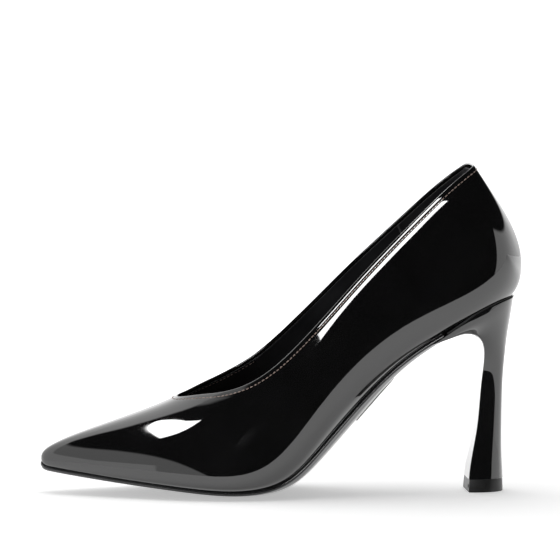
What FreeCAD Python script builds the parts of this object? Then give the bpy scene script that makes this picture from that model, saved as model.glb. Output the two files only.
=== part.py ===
import FreeCAD, Part
import math
import os

os.makedirs("parts", exist_ok=True)
V = FreeCAD.Vector

# High heel pump, left foot, in millimetres. Toe at -X, heel at +X, inner side of the foot at +Y, up is +Z.

# Overall sizes. The tables below are drawn for 232 x 78 x 96 and are scaled to these.
shoe_length = 232.0
forefoot_width = 78.0
heel_height = 96.0

# Material thicknesses, from the outside of the shoe inwards
patent_thick = 1.2
backer_thick = 0.7
lining_thick = 0.9
insole_thick = 2.0
foam_thick = 1.6
sock_thick = 0.8
outsole_thick = 2.0
heel_wrap_thick = 0.8

# Bottom and heel sizes
lasting_margin = 11.0
shank_width = 12.0
shank_thick = 1.6
top_piece_thick = 6.0
tube_radius = 2.2
tube_bore_radius = 1.2
tube_length = 62.0
plaque_length = 27.0
plaque_width = 9.0
plaque_thick = 1.0
topline_band = 6.0
back_stay_width = 10.0

sx = shoe_length / 232.0
sy = forefoot_width / 78.0
sz = heel_height / 96.0
shell_thick = patent_thick + backer_thick + lining_thick
board_top = shell_thick + insole_thick
foam_top = board_top + foam_thick
sock_top = foam_top + sock_thick

# The last: slanted cross sections from toe tip to the top of the cone, each given by
#   bottom x, z and top x, z on the centre line, sideways offset at bottom and top,
#   half widths at the feather edge, low wall, mid wall, high wall and beside the ridge,
#   then how far up the section the feather edge, low wall, mid wall and high wall sit (0 to 1)
LAST = [
    (-115.0, 16.6, -115.0, 16.6, 6.5, 6.5, 0.0, 0.0, 0.0, 0.0, 0.0, 0.00, 0.20, 0.50, 0.80),
    (-115.0, 13.2, -115.0, 19.6, 6.5, 6.5, 2.4, 3.2, 3.2, 2.6, 1.2, 0.02, 0.20, 0.50, 0.80),
    (-110.0, 12.2, -110.0, 23.2, 6.3, 6.4, 5.2, 6.6, 6.4, 5.0, 2.4, 0.02, 0.16, 0.50, 0.80),
    (-98.0, 10.4, -99.0, 28.0, 5.4, 6.0, 11.4, 13.2, 12.8, 9.4, 4.2, 0.02, 0.14, 0.50, 0.80),
    (-78.0, 7.8, -82.0, 33.8, 3.4, 5.6, 20.6, 22.8, 22.2, 15.4, 6.6, 0.02, 0.12, 0.48, 0.80),
    (-55.0, 5.0, -64.0, 40.0, 1.4, 5.0, 29.8, 32.4, 31.4, 21.4, 9.0, 0.03, 0.11, 0.46, 0.80),
    (-33.0, 2.4, -48.0, 46.4, 0.0, 4.6, 35.6, 38.8, 37.6, 25.8, 11.0, 0.03, 0.11, 0.44, 0.80),
    (-14.0, 1.5, -33.0, 57.0, -0.6, 4.0, 35.2, 39.4, 38.6, 27.8, 12.0, 0.04, 0.12, 0.43, 0.80),
    (4.0, 3.8, -18.0, 73.0, -1.0, 3.0, 29.6, 35.2, 36.6, 28.8, 13.0, 0.07, 0.15, 0.43, 0.80),
    (20.0, 20.0, -2.0, 91.0, -1.0, 2.0, 23.6, 30.6, 33.6, 28.8, 13.6, 0.09, 0.16, 0.42, 0.80),
    (36.0, 38.2, 15.0, 110.0, -0.6, 1.2, 20.8, 28.2, 31.6, 28.2, 14.0, 0.09, 0.17, 0.41, 0.78),
    (54.0, 59.4, 32.0, 129.0, -0.2, 0.6, 20.8, 27.6, 30.2, 26.8, 13.0, 0.05, 0.14, 0.40, 0.76),
    (74.0, 74.0, 47.0, 145.0, 0.0, 0.2, 22.0, 27.6, 29.4, 25.6, 12.4, 0.03, 0.13, 0.39, 0.75),
    (96.0, 84.4, 59.0, 157.0, 0.0, 0.0, 20.8, 26.4, 28.4, 24.2, 11.8, 0.03, 0.13, 0.39, 0.75),
    (111.6, 92.6, 68.0, 164.0, 0.0, 0.0, 14.8, 23.6, 27.0, 22.4, 10.8, 0.04, 0.15, 0.41, 0.75),
    (117.0, 104.0, 74.0, 168.0, 0.0, 0.0, 10.4, 20.8, 25.0, 20.6, 10.0, 0.05, 0.18, 0.44, 0.75),
    (115.4, 120.0, 77.0, 171.0, 0.0, 0.0, 8.8, 17.4, 21.2, 17.2, 8.4, 0.06, 0.24, 0.48, 0.77),
    (106.6, 137.6, 79.0, 173.0, 0.0, 0.0, 7.2, 13.6, 16.2, 13.0, 6.4, 0.06, 0.25, 0.50, 0.78),
    (93.0, 155.5, 80.0, 175.0, 0.0, 0.0, 4.8, 8.6, 10.0, 8.0, 4.0, 0.06, 0.25, 0.50, 0.80),
    (80.0, 176.0, 80.0, 176.0, 0.0, 0.0, 0.0, 0.0, 0.0, 0.0, 0.0, 0.00, 0.20, 0.50, 0.80),
]

# The opening seen from the side: x, z on the outer side and how much higher the inner side stands
TOPLINE = [
    (-50.5, 46.0, 0.0), (-45.0, 46.9, 0.8), (-39.2, 47.6, 2.8), (-30.3, 49.3, 4.6), (-21.4, 52.4, 5.2),
    (-12.5, 57.2, 5.2), (-3.4, 64.1, 5.2), (8.0, 75.0, 4.8), (19.5, 87.2, 4.0), (34.9, 104.0, 2.7),
    (50.3, 120.0, 1.3), (65.8, 135.2, 0.5), (77.0, 145.6, 0.3), (84.5, 151.8, 0.1), (91.0, 156.6, 0.0),
    (99.0, 162.4, 0.0),
]

# The heel: D-shaped sections from the floor up, each given by the front x, z, the back x, z and the half width
HEEL = [
    (89.4, 0.0, 107.7, 0.0, 12.4),
    (89.8, 6.0, 107.5, 6.0, 11.2),
    (91.7, 18.0, 106.9, 18.0, 8.6),
    (94.0, 30.0, 106.8, 30.0, 7.2),
    (95.4, 43.0, 107.0, 43.0, 6.5),
    (96.5, 55.0, 107.5, 56.0, 6.5),
    (97.4, 65.0, 108.6, 68.0, 8.0),
    (94.9, 74.2, 109.8, 77.5, 12.6),
    (87.0, 76.6, 111.4, 87.0, 17.4),
    (79.0, 74.6, 112.6, 95.0, 20.8),
    (71.0, 72.0, 113.4, 101.5, 22.0),
]

# Outline of one heel section: share of the depth from front to back, share of the half width
HEEL_SHAPE = [
    (0.0, -0.95), (0.28, -1.0), (0.58, -0.93), (0.83, -0.68), (0.96, -0.36), (1.0, 0.0),
    (0.96, 0.36), (0.83, 0.68), (0.58, 0.93), (0.28, 1.0), (0.0, 0.95),
]


def unit(dx, dz):
    size = math.hypot(dx, dz)
    return (dx / size, dz / size)


def profile_normals(points):
    # unit normals to the left of an open chain of (x, z) points
    normals = []
    last = len(points) - 1
    for i in range(len(points)):
        a = points[max(i - 1, 0)]
        b = points[min(i + 1, last)]
        t = unit(b[0] - a[0], b[1] - a[1])
        normals.append((-t[1], t[0]))
    return normals


def smooth_edge(points):
    curve = Part.BSplineCurve()
    curve.interpolate(points)
    return curve.toShape()


def last_rows(depth):
    # the last's control points, moved inwards by a depth; a negative depth moves them outwards
    low = [(s[0] * sx, s[1] * sz) for s in LAST]
    high = [(s[2] * sx, s[3] * sz) for s in LAST]
    low_normals = profile_normals(low)
    high_normals = profile_normals(high)
    end = len(LAST) - 1
    rows = []
    for i, s in enumerate(LAST):
        if i == 0:
            bottom = (low[i][0] + 1.5 * depth, low[i][1])
            top = bottom
        elif i == end:
            bottom = (low[i][0] - 0.7 * depth, low[i][1] - 0.7 * depth)
            top = bottom
        else:
            bottom = (low[i][0] + low_normals[i][0] * depth, low[i][1] + low_normals[i][1] * depth)
            top = (high[i][0] - high_normals[i][0] * depth, high[i][1] - high_normals[i][1] * depth)
        widths = [w * sy - depth * w / (w + 1.0) for w in s[6:11]]
        heights = [s[11], s[12], s[13], s[14], 1.0]

        def place(width, height):
            centre = (s[4] + (s[5] - s[4]) * height) * sy
            x = bottom[0] + (top[0] - bottom[0]) * height
            z = bottom[1] + (top[1] - bottom[1]) * height
            return V(x, centre + width, z)

        row = [place(0.0, 0.0), place(-0.55 * widths[0], 0.0)]
        row += [place(-w, h) for w, h in zip(widths, heights)]
        row.append(place(0.0, 1.0))
        row += [place(w, h) for w, h in reversed(list(zip(widths, heights)))]
        row.append(place(0.55 * widths[0], 0.0))
        rows.append(row)
    return rows


def last_solid(depth):
    # a closed body of the last, its surface laid out as eight smooth patches
    rows = last_rows(depth)
    around = len(rows[0])
    spans = len(rows) - 3
    surface = Part.BSplineSurface()
    knots_u = [float(i) for i in range(spans + 1)]
    mults_u = [4] + [1] * (spans - 1) + [4]
    knots_v = [float(i) for i in range(around + 1)]
    mults_v = [1] * (around + 1)
    surface.buildFromPolesMultsKnots(rows, mults_u, mults_v, knots_u, knots_v, False, True, 3, 3)
    faces = []
    for u_low, u_high in ((0, 5), (5, 9), (9, 13), (13, spans)):
        for v_low, v_high in ((0, 7), (7, around)):
            patch = surface.copy()
            patch.segment(u_low, u_high, v_low, v_high)
            faces.append(patch.toShape())
    return Part.makeSolid(Part.makeShell(faces))


def bottom_chain():
    # the bottom centre line of the last, run on in front of the toe and behind the seat
    chain = [(s[0] * sx, s[1] * sz) for s in LAST[1:15]]
    chain.insert(0, (chain[0][0] - 15.0, chain[0][1] + 1.5))
    chain.append((chain[-1][0] + 30.0, chain[-1][1] + 16.0))
    return chain


def above_bottom(depth):
    # everything above a curved sheet that lies a depth inside the bottom of the last
    chain = bottom_chain()
    normals = profile_normals(chain)
    rows = []
    for i, point in enumerate(chain):
        s = LAST[min(max(i, 1), 14)]
        half = max(s[6], 8.0) * sy
        lift = s[11] * (s[3] - s[1]) * sz
        x = point[0] + normals[i][0] * depth
        z = point[1] + normals[i][1] * depth
        row = []
        for share, rise in ((-2.2, 5.0), (-1.4, 2.4), (-1.0, 1.0), (-0.55, 0.0), (0.0, 0.0),
                            (0.55, 0.0), (1.0, 1.0), (1.4, 2.4), (2.2, 5.0)):
            row.append(V(x, s[4] * sy + share * half, z + rise * lift))
        rows.append(row)
    surface = Part.BSplineSurface()
    spans_u = len(rows) - 3
    spans_v = len(rows[0]) - 3
    knots_u = [float(i) for i in range(spans_u + 1)]
    knots_v = [float(i) for i in range(spans_v + 1)]
    mults_u = [4] + [1] * (spans_u - 1) + [4]
    mults_v = [4] + [1] * (spans_v - 1) + [4]
    surface.buildFromPolesMultsKnots(rows, mults_u, mults_v, knots_u, knots_v, False, False, 3, 3)
    return surface.toShape().extrude(V(0.0, 0.0, 300.0))


def plan_prism(inset):
    # the shape of the shoe bottom seen from above, made narrower by an inset and drawn up as a solid
    near_side = []
    far_side = []
    for s in LAST[1:15]:
        width = s[6] * sy - inset
        if width > 2.0:
            near_side.append(V(s[0] * sx, s[4] * sy - width, 0.0))
            far_side.append(V(s[0] * sx, s[4] * sy + width, 0.0))
    first = near_side[0]
    tip = V(first.x - 0.5 * (far_side[0].y - first.y), 0.5 * (first.y + far_side[0].y), 0.0)
    heel = V(114.6 * sx - inset, 0.0, 0.0)
    outline = Part.BSplineCurve()
    outline.interpolate(Points=[tip] + near_side + [heel] + far_side[::-1], PeriodicFlag=True)
    face = Part.Face(Part.Wire([outline.toShape()]))
    face.translate(V(0.0, 0.0, -20.0))
    return face.extrude(V(0.0, 0.0, 200.0))


def above_opening(down):
    # everything above the topline, or above a line a distance below it
    line = [(p[0] * sx, p[1] * sz) for p in TOPLINE]
    normals = profile_normals(line)
    wires = []
    for side in (-70.0, 70.0):
        share = side / 50.0 + 0.5
        points = []
        for i, p in enumerate(TOPLINE):
            x = line[i][0] - normals[i][0] * down
            z = line[i][1] - normals[i][1] * down + share * p[2] * sz
            points.append(V(x, side, z))
        points[0].x -= down
        top = 240.0 * sz
        corners = [points[-1], V(points[-1].x, side, top), V(points[0].x, side, top), points[0]]
        wires.append(Part.Wire([smooth_edge(points)] + Part.makePolygon(corners).Edges))
    return Part.makeLoft(wires, True, True)


def slab(x_low, x_high, y_low=-200.0, y_high=200.0, z_low=-60.0, z_high=300.0):
    return Part.makeBox(x_high - x_low, y_high - y_low, z_high - z_low, V(x_low, y_low, z_low))


def behind(x, z, lean):
    # everything behind a plane through x, z that leans back by an angle in degrees going down
    block = Part.makeBox(400.0, 400.0, 600.0, V(0.0, -200.0, -300.0))
    block.rotate(V(0.0, 0.0, 0.0), V(0.0, 1.0, 0.0), -lean)
    block.translate(V(x, 0.0, z))
    return block


def heel_loft(inset):
    fronts = [(h[0] * sx, h[1] * sz) for h in HEEL]
    backs = [(h[2] * sx, h[3] * sz) for h in HEEL]
    front_normals = profile_normals(fronts)
    back_normals = profile_normals(backs)
    wires = []
    for i, h in enumerate(HEEL):
        fx = fronts[i][0] - front_normals[i][0] * inset
        fz = fronts[i][1] - front_normals[i][1] * inset
        bx = backs[i][0] + back_normals[i][0] * inset
        bz = backs[i][1] + back_normals[i][1] * inset
        half = h[4] * sy - inset
        points = [V(fx + (bx - fx) * u, half * v, fz + (bz - fz) * u) for u, v in HEEL_SHAPE]
        wires.append(Part.Wire([smooth_edge(points), Part.makeLine(points[-1], points[0])]))
    return Part.makeLoft(wires, True, False)


def seat_point(x, depth):
    # a point on the bottom centre line of the last at this depth, and the inward direction there
    poles = [row[0] for row in last_rows(depth)]
    spans = len(poles) - 3
    knots = [float(i) for i in range(spans + 1)]
    mults = [4] + [1] * (spans - 1) + [4]
    line = Part.BSplineCurve()
    line.buildFromPolesMultsKnots(poles, mults, knots, False, 3)
    low = 0.0
    high = 13.0
    for _ in range(40):
        middle = 0.5 * (low + high)
        if line.value(middle).x < x:
            low = middle
        else:
            high = middle
    t = line.tangent(low)[0]
    return line.value(low), V(-t.z, 0.0, t.x)


def peg(x, y, radius, low, high):
    # a round pin square to the bottom, through a place on it, from one depth to another
    place, direction = seat_point(x * sx, 0.0)
    place.y = y * sy
    return Part.makeCylinder(radius, high - low, place + direction * low, direction)


def group(shapes):
    return Part.makeCompound([solid for shape in shapes for solid in shape.Solids])


# Skins of the last, from the outsole inwards
skin_sole = last_solid(-outsole_thick)
skin_outer = last_solid(0.0)
skin_patent = last_solid(patent_thick)
skin_backer = last_solid(patent_thick + backer_thick)
skin_inner = last_solid(shell_thick)

# Tools that open the shell at the foot's entry and under the insole
opening = above_opening(0.0)
opening_band = above_opening(topline_band)
filler_zone = plan_prism(lasting_margin).cut(above_bottom(9.0))
open_outer = skin_outer.cut(opening).cut(filler_zone)
open_patent = skin_patent.cut(opening).cut(filler_zone)
open_backer = skin_backer.cut(opening).cut(filler_zone)
open_inner = skin_inner.cut(opening).cut(filler_zone)
backer_layer = open_patent.cut(open_backer)
lining_layer = open_backer.cut(open_inner)

# Outer upper: patent leather cut whole and closed at the back
outer_upper = open_outer.cut(open_patent)

# Reinforcing layer: folded tape along the opening, toe puff, backers, back stay and heel counter
topline_tape = backer_layer.common(opening_band)
stiff_layer = backer_layer.cut(opening_band)
puff_line = -72.0 * sx
counter_line = 62.0 * sx
toe_puff = stiff_layer.common(slab(-200.0 * sx, puff_line))
backers = stiff_layer.common(slab(puff_line, counter_line))
backer_outside = backers.common(slab(-200.0, 200.0, y_high=4.0))
backer_inside = backers.common(slab(-200.0, 200.0, y_low=4.0))
counter_all = stiff_layer.common(slab(counter_line, 220.0 * sx))
stay_zone = slab(88.0 * sx, 220.0 * sx, -0.5 * back_stay_width, 0.5 * back_stay_width, z_low=118.0 * sz)
back_stay = counter_all.common(stay_zone)
heel_counter = counter_all.cut(stay_zone)

# Lining: vamp, two quarters and the grip round the heel
behind_vamp_seam = behind(-13.3 * sx, 63.7 * sz, 31.0)
behind_grip_seam = behind(57.7 * sx, 128.0 * sz, 18.0)
vamp_lining = lining_layer.cut(behind_vamp_seam)
quarter_lining = lining_layer.common(behind_vamp_seam).cut(behind_grip_seam)
quarter_lining_outside = quarter_lining.common(slab(-200.0, 200.0, y_high=0.0))
quarter_lining_inside = quarter_lining.common(slab(-200.0, 200.0, y_low=0.0))
heel_grip_lining = lining_layer.common(behind_grip_seam)

# Outsole: thin leather sole bonded to the bottom, its back end trapped under the heel
sole_end = 78.0 * sx
sole_zone = plan_prism(0.8).cut(above_bottom(4.0)).common(slab(-200.0 * sx, sole_end))
outsole = skin_sole.common(sole_zone).cut(skin_outer)

# Heel: moulded block with a steel tube, wrapped in patent leather, on a replaceable top piece
heel_outer = heel_loft(0.0).cut(skin_outer).cut(outsole)
heel_core = heel_loft(heel_wrap_thick).cut(skin_outer).cut(outsole)
above_top_piece = slab(-200.0 * sx, 220.0 * sx, z_low=top_piece_thick)
heel_cover = heel_outer.cut(heel_core).common(above_top_piece)
heel_block = heel_core.common(above_top_piece)
tube_x = 101.2 * sx
tube_zone = Part.makeCylinder(tube_radius, tube_length, V(tube_x, 0.0, top_piece_thick))
pin = Part.makeCylinder(tube_bore_radius, 19.0, V(tube_x, 0.0, 3.0))
heel_tube = tube_zone.cut(Part.makeCylinder(tube_bore_radius, tube_length, V(tube_x, 0.0, top_piece_thick)))
top_piece = heel_loft(0.3).common(slab(-200.0 * sx, 220.0 * sx, z_high=top_piece_thick)).cut(pin)
notch = slab(80.0 * sx, 91.0 * sx, -9.5 * sy, -6.5 * sy, 1.8, 3.6)
top_piece = top_piece.cut(notch)

# Insole board in two parts, with shank, filler, rivets, screw and nails
inside_bottom = skin_inner.common(plan_prism(4.0))
inside_board = inside_bottom.cut(above_bottom(board_top))
board_joint = 2.0 * sx
shank_zone = above_bottom(0.6).cut(above_bottom(0.6 + shank_thick))
shank_zone = shank_zone.common(slab(-6.0 * sx, 84.0 * sx, -0.5 * shank_width, 0.5 * shank_width))
rivets = [peg(x, 0.0, 1.6, 0.6, board_top) for x in (66.0, 78.0)]
screw_shaft = peg(95.0, 0.0, 1.8, -11.0, board_top)
screw_head = peg(95.0, 0.0, 3.6, board_top - 1.4, board_top)
heel_screw = screw_shaft.fuse(screw_head).removeSplitter()
nails = [peg(x, y, 0.9, -8.0, board_top) for x, y in ((97.0, -8.0), (97.0, 8.0), (101.5, -5.0), (101.5, 5.0))]
fixings = group(rivets + [heel_screw] + nails)
steel_shank = shank_zone.cut(group(rivets))
insole_forepart = inside_board.common(slab(-200.0 * sx, board_joint))
insole_backpart = inside_board.common(slab(board_joint, 220.0 * sx)).cut(fixings)
bottom_filler = skin_outer.common(filler_zone).cut(skin_inner).cut(shank_zone).cut(fixings)
heel_block = heel_block.cut(tube_zone).cut(fixings)

# Sock: foam with a softer cushion under the heel, covered by the sock lining
inside_foam = inside_bottom.cut(above_bottom(foam_top))
inside_sock = inside_bottom.cut(above_bottom(sock_top))
foam_layer = inside_foam.cut(inside_board)
cushion_zone = slab(72.0 * sx, 220.0 * sx)
heel_cushion = foam_layer.common(cushion_zone)
sock_foam = foam_layer.cut(cushion_zone)
sock_lining = inside_sock.cut(inside_foam)

# Blank metal plaque pinned to the waist of the outsole
plaque_x = 44.5
plaque_face, plaque_normal = seat_point(plaque_x * sx, -outsole_thick)
plaque = Part.makeBox(plaque_length, plaque_width, plaque_thick + 1.5)
plaque.translate(V(-0.5 * plaque_length, -0.5 * plaque_width, -plaque_thick))
plaque.rotate(V(0.0, 0.0, 0.0), V(0.0, 1.0, 0.0), math.degrees(math.atan2(plaque_normal.x, plaque_normal.z)))
plaque.translate(plaque_face)
plaque_pins = [peg(x, 0.0, 0.7, -outsole_thick - 0.6, -0.4) for x in (plaque_x - 6.0, plaque_x + 6.0)]
sole_plaque = plaque.cut(skin_sole).cut(group(plaque_pins))
outsole = outsole.cut(group(plaque_pins))

parts = {
    "outer_upper": outer_upper,
    "topline_tape": topline_tape,
    "toe_puff": toe_puff,
    "backer_outside": backer_outside,
    "backer_inside": backer_inside,
    "back_stay": back_stay,
    "heel_counter": heel_counter,
    "vamp_lining": vamp_lining,
    "quarter_lining_outside": quarter_lining_outside,
    "quarter_lining_inside": quarter_lining_inside,
    "heel_grip_lining": heel_grip_lining,
    "outsole": outsole,
    "heel_cover": heel_cover,
    "heel_block": heel_block,
    "heel_tube": heel_tube,
    "top_piece": top_piece,
    "top_piece_pin": pin,
    "insole_forepart": insole_forepart,
    "insole_backpart": insole_backpart,
    "steel_shank": steel_shank,
    "shank_rivets": group(rivets),
    "heel_screw": heel_screw,
    "heel_nails": group(nails),
    "bottom_filler": bottom_filler,
    "sock_foam": sock_foam,
    "heel_cushion": heel_cushion,
    "sock_lining": sock_lining,
    "sole_plaque": sole_plaque,
    "plaque_pins": group(plaque_pins),
}

# Stand the shoe on the floor, with the middle of its box over the origin
box = group([outer_upper, outsole, top_piece]).optimalBoundingBox(True, False)
shift = V(-0.5 * (box.XMin + box.XMax), -0.5 * (box.YMin + box.YMax), -box.ZMin)

for name, shape in parts.items():
    shape.translate(shift)
    shape.exportStep("parts/" + name + ".step")
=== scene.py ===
import bpy
import math
import numpy as np
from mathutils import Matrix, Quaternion, Vector
from mathutils.bvhtree import BVHTree


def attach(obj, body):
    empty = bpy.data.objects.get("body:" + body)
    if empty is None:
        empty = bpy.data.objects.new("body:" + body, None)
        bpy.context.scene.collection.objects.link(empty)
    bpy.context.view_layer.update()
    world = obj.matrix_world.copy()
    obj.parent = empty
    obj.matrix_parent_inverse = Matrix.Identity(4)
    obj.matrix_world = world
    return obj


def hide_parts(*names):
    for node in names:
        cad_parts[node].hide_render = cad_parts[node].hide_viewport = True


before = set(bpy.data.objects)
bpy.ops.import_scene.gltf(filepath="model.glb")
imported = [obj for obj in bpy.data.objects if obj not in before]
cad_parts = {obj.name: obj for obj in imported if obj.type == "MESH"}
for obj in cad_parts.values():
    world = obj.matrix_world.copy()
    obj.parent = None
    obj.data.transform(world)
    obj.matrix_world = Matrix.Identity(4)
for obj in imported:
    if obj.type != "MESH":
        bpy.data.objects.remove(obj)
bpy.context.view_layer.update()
for name in ("Cube", "Light", "Camera"):
    if name in bpy.data.objects:
        bpy.data.objects.remove(bpy.data.objects[name])


# ---------------------------------------------------------------- the studio
# The shoe stands on a plain white sweep, lit by soft boxes, and the camera looks at its outer side
# from a little above the floor, far away with a long lens.
scene = bpy.context.scene
scene.view_settings.view_transform = "Standard"
aim = Vector((-0.0009, -0.0006, 0.1020))
turn, rise, distance = math.radians(-4.5), math.radians(4.2), 2.0
away = Vector((math.sin(turn) * math.cos(rise), -math.cos(turn) * math.cos(rise),
               math.sin(rise)))
lens = bpy.data.cameras.new("camera")
lens.sensor_width = 36.0
lens.lens = 268.2
lens.clip_end = 200.0
camera = bpy.data.objects.new("camera", lens)
camera.location = aim + away * distance
camera.rotation_euler = (-away).to_track_quat("-Z", "Y").to_euler()
scene.collection.objects.link(camera)
scene.camera = camera


class Socket:
    # one output socket that can be added and multiplied as a number
    def __init__(self, shader, out):
        self.shader = shader
        self.out = out

    def math(self, kind, *values):
        return self.shader.add("ShaderNodeMath", {"operation": kind},
                               dict(enumerate((self,) + values)))

    def __add__(self, other):
        return self.math("ADD", other)

    def __mul__(self, other):
        return self.math("MULTIPLY", other)

    __radd__ = __add__
    __rmul__ = __mul__


class Shader:
    # a node tree that is written as calls and sums
    def __init__(self, tree):
        self.tree = tree
        self.tree.nodes.clear()

    def add(self, kind, settings=None, values=None, out=0):
        node = self.tree.nodes.new(kind)
        for key, value in (settings or {}).items():
            if key == "stops":
                ramp = node.color_ramp.elements
                while len(ramp) < len(value):
                    ramp.new(0.5)
                for element, (place, colour) in zip(ramp, value):
                    element.position = place
                    element.color = tuple(colour) + (1.0,)
            else:
                setattr(node, key, value)
        for key, value in (values or {}).items():
            if isinstance(value, Socket):
                self.tree.links.new(value.out, node.inputs[key])
            else:
                node.inputs[key].default_value = value
        return Socket(self, node.outputs[out]) if len(node.outputs) else None


world = bpy.data.worlds.new("studio")
world.use_nodes = True
scene.world = world
sky = Shader(world.node_tree)
toward = sky.add("ShaderNodeTexCoord", out="Generated")
EAST, NORTH, UP = 0, 1, 2
axes = [sky.add("ShaderNodeSeparateXYZ", values={0: toward}, out=k) for k in (EAST, NORTH, UP)]


def lit_beyond(direction, start=0.0, soft=0.02):
    # one for every direction on the far side of a plane, with a soft edge
    beyond = axes[EAST] * direction[0] + axes[NORTH] * direction[1] + axes[UP] * direction[2]
    return sky.add("ShaderNodeMapRange", {"interpolation_type": "SMOOTHSTEP"},
                   {0: beyond, 1: start - soft, 2: start + soft, 3: 0.0, 4: 1.0})


# White walls stand behind, to the right and low on the left, and a grey one on the left. Nothing
# stands in front or overhead, where the room is almost dark.
DOWN = (0.0, 0.0, -1.0)
RIGHT_WHITE, LEFT_GREY, DARK_ROOM = 0.9, 0.6, 0.012
back_wall = lit_beyond((-0.54, 0.64, -0.55)) * lit_beyond((-0.90, 0.44, 0.0))
right_wall = lit_beyond((0.62, 0.79, 0.0)) * lit_beyond(DOWN, -0.2) * lit_beyond((0.75, -0.66, 0.0))
left_wall = lit_beyond((-0.73, 0.34, -0.59))
low_left = lit_beyond((-0.70, 0.72, 0.0)) * lit_beyond(DOWN, -0.19)
walls = back_wall.math("MAXIMUM", right_wall * RIGHT_WHITE)
walls = walls.math("MAXIMUM", left_wall * LEFT_GREY).math("MAXIMUM", low_left)
studio = sky.add("ShaderNodeBackground",
                 values={"Color": (1.0, 1.0, 1.0, 1.0), "Strength": walls + DARK_ROOM})
sky.add("ShaderNodeOutputWorld", values={"Surface": studio})

bpy.ops.mesh.primitive_plane_add(size=1.0, location=(0.0, 0.0, 0.0))
floor = bpy.context.object
floor.name = "floor"
FLOOR_WIDE, FLOOR_FRONT, FLOOR_BACK = 80.0, -0.26, 60.0
for vertex in floor.data.vertices:
    vertex.co = (vertex.co[0] * FLOOR_WIDE, FLOOR_FRONT if vertex.co[1] < 0.0 else FLOOR_BACK, 0.0)


def new_finish(name):
    # an empty material, its nodes, and a place on the piece to start from
    finish = bpy.data.materials.new(name)
    finish.use_nodes = True
    tree = Shader(finish.node_tree)
    return finish, tree, tree.add("ShaderNodeTexCoord", out="Object")


def noise(tree, spot, scale, detail):
    return tree.add("ShaderNodeTexNoise",
                    values={"Vector": spot, "Scale": scale, "Detail": detail}, out="Fac")


def shade_between(tree, factor, low, low_colour, high, high_colour):
    # from one colour to the other as the factor goes from low to high
    return tree.add("ShaderNodeValToRGB", {"stops": [(low, low_colour), (high, high_colour)]},
                    {0: factor})


def bump(tree, strength, distance, height):
    return tree.add("ShaderNodeBump", out="Normal",
                    values={"Strength": strength, "Distance": distance, "Height": height})


def surface(tree, **sockets):
    # the shader itself; a socket's name has _ for each space
    values = {key.replace("_", " "): value for key, value in sockets.items()}
    body = tree.add("ShaderNodeBsdfPrincipled", values=values)
    tree.add("ShaderNodeOutputMaterial", values={"Surface": body})


# Painted light: the paper glows a little under the shoe, which lightens the shoe's shadow there, and
# fully from one metre behind it, so that it stays white.
NEAR_GLOW, FULL_GLOW = 0.42, 1.0
paper, tree, where = new_finish("white_sweep")
mottle = noise(tree, where, 3.0, 2.0)
white = shade_between(tree, mottle, 0.3, (0.93, 0.93, 0.93), 0.7, (0.95, 0.95, 0.95))
behind = tree.add("ShaderNodeSeparateXYZ", values={0: where}, out="Y")
glow = tree.add("ShaderNodeMapRange", {"interpolation_type": "SMOOTHSTEP"},
                {0: behind, 1: 0.1, 2: 0.9, 3: NEAR_GLOW, 4: FULL_GLOW})
bright = tree.add("ShaderNodeCombineXYZ", values={0: glow, 1: glow, 2: glow})
surface(tree, Base_Color=white, Roughness=0.9, Emission_Color=bright, Emission_Strength=1.0)
floor.data.materials.append(paper)


def soft_box(name, place, target, width, height, power, spin=0.0):
    # a square or oblong lamp that looks at the target; spin turns it about that line
    light = bpy.data.lights.new(name, "AREA")
    light.shape = "RECTANGLE"
    light.size = width
    light.size_y = height
    light.energy = power
    lamp = bpy.data.objects.new(name, light)
    lamp.location = place
    turn_to = (Vector(target) - Vector(place)).to_track_quat("-Z", "Y")
    lamp.rotation_euler = (turn_to @ Quaternion((0.0, 0.0, 1.0), spin)).to_euler()
    scene.collection.objects.link(lamp)
    return lamp


# The large box overhead lights the floor. The narrow one in front of the toe and the small one by the
# opening only mirror in the gloss: a streak on the vamp, and one along the topline.
MID_SHOE = (0.0, 0.0, 0.06)
overhead = soft_box("overhead", (0.0, 0.35, 1.9), (0.0, 0.1, 0.0), 1.6, 1.6, 21.0)
overhead.visible_glossy = False
vamp_box = soft_box("vamp_box", (-0.564, 0.081, 1.071), MID_SHOE, 0.109, 0.614, 2.4, 1.474)
vamp_box.visible_diffuse = False
topline_box = soft_box("topline_box", (-0.009, -0.284, 0.241), MID_SHOE, 0.181, 0.062, 0.4, 0.818)
topline_box.visible_diffuse = False


# ---------------------------------------------------------------- the upper
# One piece of black patent leather, pulled over a wooden last, closed at the back and folded over a
# tape round the opening. Its shape is the last: slanted sections from toe tip to the top of the heel.
MM = 0.001

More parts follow.
